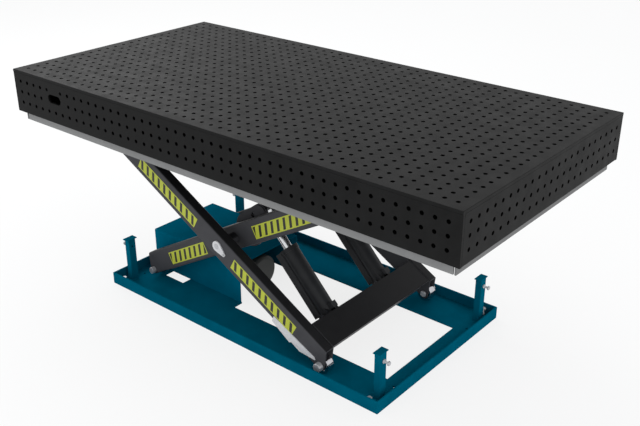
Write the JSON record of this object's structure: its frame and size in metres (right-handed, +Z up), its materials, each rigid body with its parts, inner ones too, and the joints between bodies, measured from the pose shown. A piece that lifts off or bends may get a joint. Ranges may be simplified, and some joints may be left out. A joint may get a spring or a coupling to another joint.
{
  "type": "height adjustable welding table",
  "caption": "Perforated welding table box on a hydraulic scissor lift, with a floor frame, twin cylinders and a covered power pack.",
  "frame": {"origin": "on the floor in the middle of the base frame", "axes": "+Z up, +X along the table away from the power pack, +Y towards the rear long side"},
  "size_m": [2.4, 1.2, 1.0433],
  "materials": {
    "teal_paint": "satin enamel",
    "cover_paint": "satin enamel",
    "zinc_plate": "zinc plated",
    "bright_plate": "bright zinc plated",
    "leg_paint": "powder coat",
    "cylinder_paint": "satin black",
    "hard_chrome": "hard chrome plated and ground",
    "tank_plastic": "moulded",
    "motor_enamel": "cast and painted",
    "cowl_enamel": "grey enamel",
    "roller_steel": "turned",
    "platform_paint": "light grey enamel",
    "nitrided_steel": "plasma nitrided, dark"
  },
  "bodies": {
    "base": {"base_rail_front": "teal_paint", "base_rail_rear": "teal_paint", "base_rail_left": "teal_paint", "base_rail_right": "teal_paint", "levelling_screws": "zinc_plate", "base_pivot_lugs": "teal_paint", "base_pivot_pins": "zinc_plate", "corner_posts": "teal_paint", "post_caps": "teal_paint", "post_screws": "zinc_plate", "pack_tray": "teal_paint", "pack_cover": "cover_paint", "oil_tank": "tank_plastic", "filler_cap": "cylinder_paint", "pump_block": "cylinder_paint", "motor": "motor_enamel", "motor_cowl": "cowl_enamel"},
    "inner_legs": {"inner_leg_front": "leg_paint", "inner_leg_rear": "leg_paint", "torque_tube": "leg_paint", "rod_arms": "leg_paint", "upper_roller_axles": "zinc_plate"},
    "outer_legs": {"outer_leg_front": "leg_paint", "outer_leg_rear": "leg_paint", "centre_pins": "zinc_plate", "retaining_plates": "bright_plate", "retaining_screws": "zinc_plate", "guard_strips": "zinc_plate", "cross_plate": "leg_paint", "cross_tube": "leg_paint", "cylinder_lugs": "leg_paint", "cylinder_pins": "zinc_plate", "lower_roller_axles": "zinc_plate", "top_pivot_pins": "zinc_plate"},
    "platform": {"platform_sheet": "platform_paint", "rim_front": "platform_paint", "rim_rear": "platform_paint", "rim_left": "platform_paint", "rim_right": "platform_paint", "roller_tracks": "platform_paint", "top_pivot_brackets": "platform_paint", "table_top_plate": "nitrided_steel", "table_side_front": "nitrided_steel", "table_sides": "nitrided_steel", "table_ribs": "nitrided_steel"},
    "upper_wheel_front": {"upper_roller_front": "roller_steel"},
    "upper_wheel_rear": {"upper_roller_rear": "roller_steel"},
    "lower_wheel_front": {"lower_roller_front": "roller_steel"},
    "lower_wheel_rear": {"lower_roller_rear": "roller_steel"},
    "cylinder_front": {"barrel_front": "cylinder_paint", "port_block_front": "cylinder_paint", "pipe_guard_front": "cylinder_paint"},
    "cylinder_rear": {"barrel_rear": "cylinder_paint", "port_block_rear": "cylinder_paint", "pipe_guard_rear": "cylinder_paint"},
    "piston_front": {"rod_front": "hard_chrome", "rod_pin_front": "leg_paint"},
    "piston_rear": {"rod_rear": "hard_chrome", "rod_pin_rear": "leg_paint"}
  },
  "joints": [
    {"name": "lift", "type": "hinge", "parent": "base", "child": "inner_legs", "pos_m": [-0.687, 0, 0.0483], "axis": [0, -1, 0], "range_deg": [-23.15, 0]},
    {"name": "scissor", "type": "hinge", "parent": "inner_legs", "child": "outer_legs", "pos_m": [-0.10789, 0, 0.41228], "axis": [0, -1, 0], "range_deg": [0, 46.3]},
    {"name": "levelling", "type": "hinge", "parent": "outer_legs", "child": "platform", "pos_m": [-0.687, 0, 0.77626], "axis": [0, -1, 0], "range_deg": [-23.15, 0]},
    {"name": "cylinder_foot_front", "type": "hinge", "parent": "outer_legs", "child": "cylinder_front", "pos_m": [0.34518, -0.192, 0.14996], "axis": [0, -1, 0], "range_deg": [0, 2.45]},
    {"name": "rod_slide_front", "type": "slide", "parent": "cylinder_front", "child": "piston_front", "axis": [-0.6909, 0, 0.723], "range_m": [-0.1149, 0]},
    {"name": "cylinder_foot_rear", "type": "hinge", "parent": "outer_legs", "child": "cylinder_rear", "pos_m": [0.34518, 0.192, 0.14996], "axis": [0, -1, 0], "range_deg": [0, 2.45]},
    {"name": "rod_slide_rear", "type": "slide", "parent": "cylinder_rear", "child": "piston_rear", "axis": [-0.6909, 0, 0.723], "range_m": [-0.1149, 0]},
    {"name": "upper_wheel_spin_front", "type": "hinge", "parent": "inner_legs", "child": "upper_wheel_front", "pos_m": [0.47123, -0.275, 0.77626], "axis": [0, -1, 0], "continuous": true},
    {"name": "lower_wheel_spin_front", "type": "hinge", "parent": "outer_legs", "child": "lower_wheel_front", "pos_m": [0.47123, -0.381, 0.0483], "axis": [0, -1, 0], "continuous": true},
    {"name": "upper_wheel_spin_rear", "type": "hinge", "parent": "inner_legs", "child": "upper_wheel_rear", "pos_m": [0.47123, 0.275, 0.77626], "axis": [0, -1, 0], "continuous": true},
    {"name": "lower_wheel_spin_rear", "type": "hinge", "parent": "outer_legs", "child": "lower_wheel_rear", "pos_m": [0.47123, 0.381, 0.0483], "axis": [0, -1, 0], "continuous": true}
  ],
  "couplings": [
    {"joint": "scissor", "follows": "lift", "ratio": -2},
    {"joint": "levelling", "follows": "lift", "ratio": 1},
    {"joint": "cylinder_foot_front", "follows": "lift", "ratio": -0.1055},
    {"joint": "rod_slide_front", "follows": "lift", "m_per_rad": 0.28412},
    {"joint": "cylinder_foot_rear", "follows": "lift", "ratio": -0.1055},
    {"joint": "rod_slide_rear", "follows": "lift", "m_per_rad": 0.28412}
  ]
}
